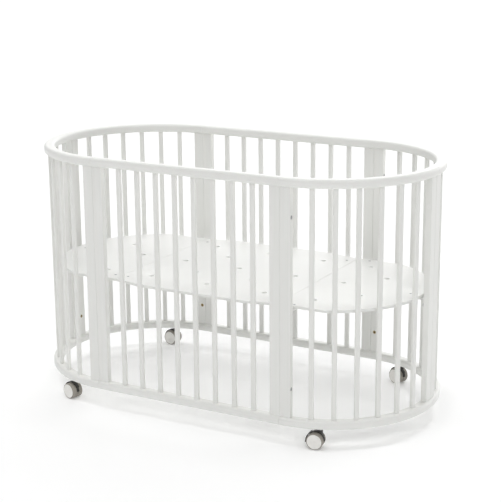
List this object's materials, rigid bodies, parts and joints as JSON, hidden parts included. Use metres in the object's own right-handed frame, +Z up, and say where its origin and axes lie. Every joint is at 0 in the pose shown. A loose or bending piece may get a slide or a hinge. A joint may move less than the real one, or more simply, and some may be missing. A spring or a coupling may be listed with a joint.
{
  "type": "baby crib",
  "caption": "Oval slatted baby crib with quarter-round end sections, a three-part perforated mattress base and braked twin-wheel castors.",
  "frame": {"origin": "on the floor, under the middle of the crib", "axes": "+X along the crib's length, +Y towards the back side, +Z up"},
  "size_m": [1.426, 0.74, 0.86],
  "materials": {
    "white_lacquer": "satin white lacquer on solid wood",
    "base_board": "white laminated board",
    "coated_steel": "white powder coat",
    "plated_steel": "dull zinc plate",
    "insert_brass": "dull",
    "castor_hood": "moulded dark grey",
    "castor_pedal": "moulded dark grey",
    "castor_wheel": "moulded warm grey with a lighter disc"
  },
  "bodies": {
    "root": {"front_side_top_rail": "white_lacquer", "front_side_bottom_rail": "white_lacquer", "front_side_left_board": "white_lacquer", "front_side_right_board": "white_lacquer", "front_side_slats": "white_lacquer", "back_side_top_rail": "white_lacquer", "back_side_bottom_rail": "white_lacquer", "back_side_left_board": "white_lacquer", "back_side_right_board": "white_lacquer", "back_side_slats": "white_lacquer", "front_right_end_top_rail": "white_lacquer", "front_right_end_bottom_rail": "white_lacquer", "front_right_end_side_board": "white_lacquer", "front_right_end_apex_board": "white_lacquer", "front_right_end_slats": "white_lacquer", "front_left_end_top_rail": "white_lacquer", "front_left_end_bottom_rail": "white_lacquer", "front_left_end_side_board": "white_lacquer", "front_left_end_apex_board": "white_lacquer", "front_left_end_slats": "white_lacquer", "back_left_end_top_rail": "white_lacquer", "back_left_end_bottom_rail": "white_lacquer", "back_left_end_side_board": "white_lacquer", "back_left_end_apex_board": "white_lacquer", "back_left_end_slats": "white_lacquer", "back_right_end_top_rail": "white_lacquer", "back_right_end_bottom_rail": "white_lacquer", "back_right_end_side_board": "white_lacquer", "back_right_end_apex_board": "white_lacquer", "back_right_end_slats": "white_lacquer", "base_panel_left": "base_board", "base_panel_middle": "base_board", "base_panel_right": "base_board", "base_seam_plates": "coated_steel", "base_brackets": "coated_steel", "base_screws": "plated_steel", "bracket_bolts": "plated_steel", "connector_bolts": "plated_steel", "threaded_inserts": "insert_brass", "castor_stems": "plated_steel"},
    "front_right_castor": {"front_right_castor_housing": "castor_hood", "front_right_castor_axle": "plated_steel"},
    "front_right_left_wheel": {"front_right_castor_left_wheel": "castor_wheel"},
    "front_right_right_wheel": {"front_right_castor_right_wheel": "castor_wheel"},
    "front_right_brake": {"front_right_castor_brake_pedal": "castor_pedal"},
    "front_left_castor": {"front_left_castor_housing": "castor_hood", "front_left_castor_axle": "plated_steel"},
    "front_left_left_wheel": {"front_left_castor_left_wheel": "castor_wheel"},
    "front_left_right_wheel": {"front_left_castor_right_wheel": "castor_wheel"},
    "front_left_brake": {"front_left_castor_brake_pedal": "castor_pedal"},
    "back_left_castor": {"back_left_castor_housing": "castor_hood", "back_left_castor_axle": "plated_steel"},
    "back_left_left_wheel": {"back_left_castor_left_wheel": "castor_wheel"},
    "back_left_right_wheel": {"back_left_castor_right_wheel": "castor_wheel"},
    "back_left_brake": {"back_left_castor_brake_pedal": "castor_pedal"},
    "back_right_castor": {"back_right_castor_housing": "castor_hood", "back_right_castor_axle": "plated_steel"},
    "back_right_left_wheel": {"back_right_castor_left_wheel": "castor_wheel"},
    "back_right_right_wheel": {"back_right_castor_right_wheel": "castor_wheel"},
    "back_right_brake": {"back_right_castor_brake_pedal": "castor_pedal"}
  },
  "joints": [
    {"name": "front_right_swivel", "type": "hinge", "parent": "root", "child": "front_right_castor", "pos_m": [0.46915, -0.32862, 0.06], "axis": [0, 0, 1], "continuous": true},
    {"name": "front_right_left_wheel_spin", "type": "hinge", "parent": "front_right_castor", "child": "front_right_left_wheel", "pos_m": [0.45437, -0.33122, 0.027], "axis": [0.1736, -0.9848, 0], "continuous": true},
    {"name": "front_right_right_wheel_spin", "type": "hinge", "parent": "front_right_castor", "child": "front_right_right_wheel", "pos_m": [0.45437, -0.33122, 0.027], "axis": [0.1736, -0.9848, 0], "continuous": true},
    {"name": "front_right_brake_lift", "type": "hinge", "parent": "front_right_castor", "child": "front_right_brake", "pos_m": [0.44453, -0.33296, 0.04432], "axis": [-0.1736, 0.9848, 0], "range_deg": [0, 18]},
    {"name": "front_left_swivel", "type": "hinge", "parent": "root", "child": "front_left_castor", "pos_m": [-0.46915, -0.32862, 0.06], "axis": [0, 0, 1], "continuous": true},
    {"name": "front_left_left_wheel_spin", "type": "hinge", "parent": "front_left_castor", "child": "front_left_left_wheel", "pos_m": [-0.48363, -0.32474, 0.027], "axis": [-0.2588, -0.9659, 0], "continuous": true},
    {"name": "front_left_right_wheel_spin", "type": "hinge", "parent": "front_left_castor", "child": "front_left_right_wheel", "pos_m": [-0.48363, -0.32474, 0.027], "axis": [-0.2588, -0.9659, 0], "continuous": true},
    {"name": "front_left_brake_lift", "type": "hinge", "parent": "front_left_castor", "child": "front_left_brake", "pos_m": [-0.49329, -0.32215, 0.04432], "axis": [0.2588, 0.9659, 0], "range_deg": [0, 18]},
    {"name": "back_left_swivel", "type": "hinge", "parent": "root", "child": "back_left_castor", "pos_m": [-0.46915, 0.32862, 0.06], "axis": [0, 0, 1], "continuous": true},
    {"name": "back_left_left_wheel_spin", "type": "hinge", "parent": "back_left_castor", "child": "back_left_left_wheel", "pos_m": [-0.48409, 0.32993, 0.027], "axis": [-0.0872, -0.9962, 0], "continuous": true},
    {"name": "back_left_right_wheel_spin", "type": "hinge", "parent": "back_left_castor", "child": "back_left_right_wheel", "pos_m": [-0.48409, 0.32993, 0.027], "axis": [-0.0872, -0.9962, 0], "continuous": true},
    {"name": "back_left_brake_lift", "type": "hinge", "parent": "back_left_castor", "child": "back_left_brake", "pos_m": [-0.49405, 0.3308, 0.04432], "axis": [0.0872, 0.9962, 0], "range_deg": [0, 18]},
    {"name": "back_right_swivel", "type": "hinge", "parent": "root", "child": "back_right_castor", "pos_m": [0.46915, 0.32862, 0.06], "axis": [0, 0, 1], "continuous": true},
    {"name": "back_right_left_wheel_spin", "type": "hinge", "parent": "back_right_castor", "child": "back_right_left_wheel", "pos_m": [0.45524, 0.33424, 0.027], "axis": [-0.3746, -0.9272, 0], "continuous": true},
    {"name": "back_right_right_wheel_spin", "type": "hinge", "parent": "back_right_castor", "child": "back_right_right_wheel", "pos_m": [0.45524, 0.33424, 0.027], "axis": [-0.3746, -0.9272, 0], "continuous": true},
    {"name": "back_right_brake_lift", "type": "hinge", "parent": "back_right_castor", "child": "back_right_brake", "pos_m": [0.44597, 0.33798, 0.04432], "axis": [0.3746, 0.9272, 0], "range_deg": [0, 18]}
  ]
}
